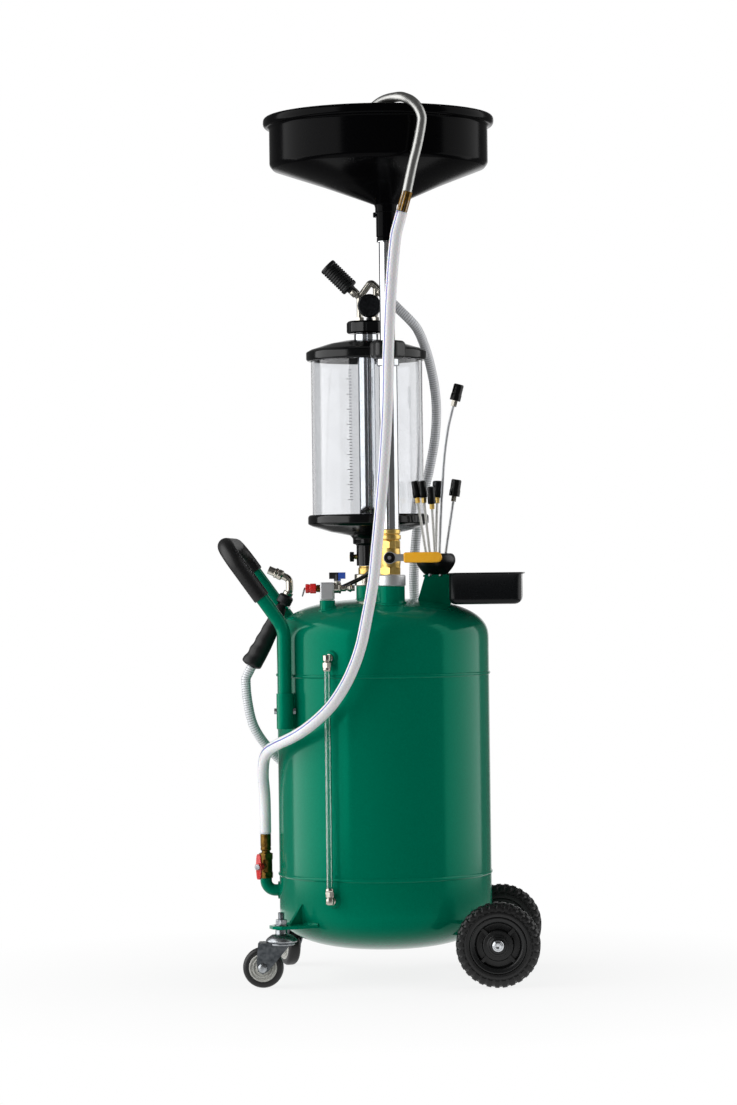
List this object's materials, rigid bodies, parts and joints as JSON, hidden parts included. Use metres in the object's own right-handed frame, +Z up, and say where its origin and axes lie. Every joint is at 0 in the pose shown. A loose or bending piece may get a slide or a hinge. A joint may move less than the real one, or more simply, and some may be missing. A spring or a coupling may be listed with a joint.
{
  "type": "waste oil drainer",
  "caption": "Wheeled waste-oil drainer: drain bowl on a telescopic mast over a tank, with a clear measuring chamber, suction hose with probes, and a discharge hose hooked on the bowl.",
  "frame": {"origin": "on the floor, under the middle of the drainer's outline seen from above", "axes": "+Z up along the mast, +X from the push handle to the big wheels, +Y away from the side with the sight tube"},
  "size_m": [0.5925, 0.5707, 1.6254],
  "materials": {
    "green_enamel": "glossy green enamel",
    "black_plastic": "semi-gloss black moulding",
    "black_rubber": "matt black rubber",
    "tyre_rubber": "lugged black tyre",
    "chromed_steel": "bright chrome",
    "zinc_plated_steel": "zinc plate",
    "nickel_plated_brass": "nickel plate",
    "brass": "machined brass",
    "aluminium": "satin aluminium",
    "clear_acrylic": "clear acrylic tube",
    "milky_hose": "translucent milky PVC hose",
    "red_lacquer": "red lacquer",
    "yellow_vinyl": "dipped yellow vinyl"
  },
  "bodies": {
    "tank": {"tank_shell": "green_enamel", "caster_bracket_near": "green_enamel", "caster_bracket_far": "green_enamel", "caster_stem_near": "zinc_plated_steel", "caster_stem_far": "zinc_plated_steel", "axle_bracket": "green_enamel", "wheel_axle": "chromed_steel", "push_handle": "green_enamel", "handle_grip": "black_rubber", "sight_tube": "clear_acrylic", "sight_fitting_upper": "nickel_plated_brass", "sight_fitting_lower": "nickel_plated_brass", "discharge_valve_body": "brass", "discharge_hose": "milky_hose", "mast_ring_nut": "aluminium", "main_valve_body": "brass", "mast_outer_tube": "chromed_steel", "chamber_base": "black_plastic", "chamber_cylinder": "clear_acrylic", "chamber_lid": "black_plastic", "chamber_centre_tube": "chromed_steel", "chamber_top_nut": "black_plastic", "vacuum_gauge": "black_plastic", "chamber_top_elbow": "nickel_plated_brass", "exhaust_silencer": "black_plastic", "chamber_ring_nut": "nickel_plated_brass", "air_manifold": "aluminium", "safety_valve": "red_lacquer", "air_hose": "black_rubber", "suction_hose": "milky_hose", "suction_grip": "black_plastic", "suction_connector": "nickel_plated_brass", "probe_holder": "black_plastic", "tool_tray": "black_plastic"},
    "near_wheel": {"wheel_hub_near": "black_plastic", "wheel_tyre_near": "tyre_rubber"},
    "far_wheel": {"wheel_hub_far": "black_plastic", "wheel_tyre_far": "tyre_rubber"},
    "near_caster": {"caster_fork_near": "zinc_plated_steel"},
    "near_caster_wheel": {"caster_wheel_near": "black_rubber"},
    "far_caster": {"caster_fork_far": "zinc_plated_steel"},
    "far_caster_wheel": {"caster_wheel_far": "black_rubber"},
    "mast": {"mast_inner_tube": "chromed_steel", "drain_bowl": "black_plastic", "hook_pipe": "aluminium"},
    "clamp_screw": {"bowl_clamp_screw": "zinc_plated_steel"},
    "lock_nut": {"mast_lock_nut": "black_plastic"},
    "main_lever": {"main_valve_ball": "chromed_steel", "main_valve_lever": "chromed_steel", "lever_sleeve": "yellow_vinyl"},
    "outlet_handle": {"discharge_valve_handle": "red_lacquer"},
    "air_lever": {"air_valve_lever": "black_plastic"},
    "drain_cock": {"chamber_cock": "brass"},
    "pull_ring": {"safety_pull_ring": "zinc_plated_steel"},
    "first_probe": {"probe_1": "nickel_plated_brass"},
    "second_probe": {"probe_2": "nickel_plated_brass"},
    "third_probe": {"probe_3": "nickel_plated_brass"},
    "fourth_probe": {"probe_4": "nickel_plated_brass"},
    "fifth_probe": {"probe_5": "nickel_plated_brass"},
    "tall_probe": {"probe_6": "nickel_plated_brass"}
  },
  "joints": [
    {"name": "near_wheel_spin", "type": "hinge", "parent": "tank", "child": "near_wheel", "pos_m": [0.21915, -0.1359, 0.0775], "axis": [0, 1, 0], "continuous": true},
    {"name": "far_wheel_spin", "type": "hinge", "parent": "tank", "child": "far_wheel", "pos_m": [0.21915, 0.2241, 0.0775], "axis": [0, 1, 0], "continuous": true},
    {"name": "near_caster_swivel", "type": "hinge", "parent": "tank", "child": "near_caster", "pos_m": [-0.17985, -0.1209, 0.08], "axis": [0, 0, 1], "continuous": true},
    {"name": "near_caster_spin", "type": "hinge", "parent": "near_caster", "child": "near_caster_wheel", "pos_m": [-0.21385, -0.1209, 0.0375], "axis": [0, 1, 0], "continuous": true},
    {"name": "far_caster_swivel", "type": "hinge", "parent": "tank", "child": "far_caster", "pos_m": [-0.17985, 0.2091, 0.08], "axis": [0, 0, 1], "continuous": true},
    {"name": "far_caster_spin", "type": "hinge", "parent": "far_caster", "child": "far_caster_wheel", "pos_m": [-0.19422, 0.23991, 0.0375], "axis": [0.9063, 0.4226, 0], "continuous": true},
    {"name": "mast_slide", "type": "slide", "parent": "tank", "child": "mast", "axis": [0, 0, 1], "range_m": [-0.12, 0.14], "deforming": ["discharge_hose"]},
    {"name": "clamp_screw_turn", "type": "hinge", "parent": "mast", "child": "clamp_screw", "pos_m": [0.02615, -0.0559, 1.426], "axis": [-1, 0, 0], "range_deg": [0, 180]},
    {"name": "lock_nut_turn", "type": "hinge", "parent": "tank", "child": "lock_nut", "pos_m": [0.02615, -0.0559, 1.1588], "axis": [0, 0, 1], "range_deg": [0, 180]},
    {"name": "main_valve_turn", "type": "hinge", "parent": "tank", "child": "main_lever", "pos_m": [0.02615, -0.0559, 0.7886], "axis": [0, -1, 0], "range_deg": [0, 90]},
    {"name": "outlet_valve_turn", "type": "hinge", "parent": "tank", "child": "outlet_handle", "pos_m": [-0.22085, 0.0441, 0.21], "axis": [-0.4226, -0.9063, 0], "range_deg": [0, 90]},
    {"name": "air_valve_turn", "type": "hinge", "parent": "tank", "child": "air_lever", "pos_m": [-0.07235, -0.0629, 0.7467], "axis": [0, 0, 1], "range_deg": [0, 90]},
    {"name": "drain_cock_turn", "type": "hinge", "parent": "tank", "child": "drain_cock", "pos_m": [-0.02185, 0.0991, 0.79183], "axis": [-1, 0, 0], "range_deg": [0, 90]},
    {"name": "pull_ring_slide", "type": "slide", "parent": "tank", "child": "pull_ring", "axis": [-1, 0, 0], "range_m": [0, 0.004], "stiffness_N_per_m": 200, "springref_m": -0.001},
    {"name": "first_probe_lift", "type": "slide", "parent": "tank", "child": "first_probe", "axis": [-0.139, -0.1341, 0.9812], "range_m": [0, 0.2]},
    {"name": "second_probe_lift", "type": "slide", "parent": "tank", "child": "second_probe", "axis": [-0.0897, -0.1534, 0.9841], "range_m": [0, 0.2]},
    {"name": "third_probe_lift", "type": "slide", "parent": "tank", "child": "third_probe", "axis": [-0.0422, -0.1944, 0.98], "range_m": [0, 0.2]},
    {"name": "fourth_probe_lift", "type": "slide", "parent": "tank", "child": "fourth_probe", "axis": [0.0352, 0.0997, 0.9944], "range_m": [0, 0.2]},
    {"name": "fifth_probe_lift", "type": "slide", "parent": "tank", "child": "fifth_probe", "axis": [0.1583, 0, 0.9874], "range_m": [0, 0.2]},
    {"name": "tall_probe_lift", "type": "slide", "parent": "tank", "child": "tall_probe", "axis": [0.0499, 0.0299, 0.9983], "range_m": [0, 0.2]}
  ]
}
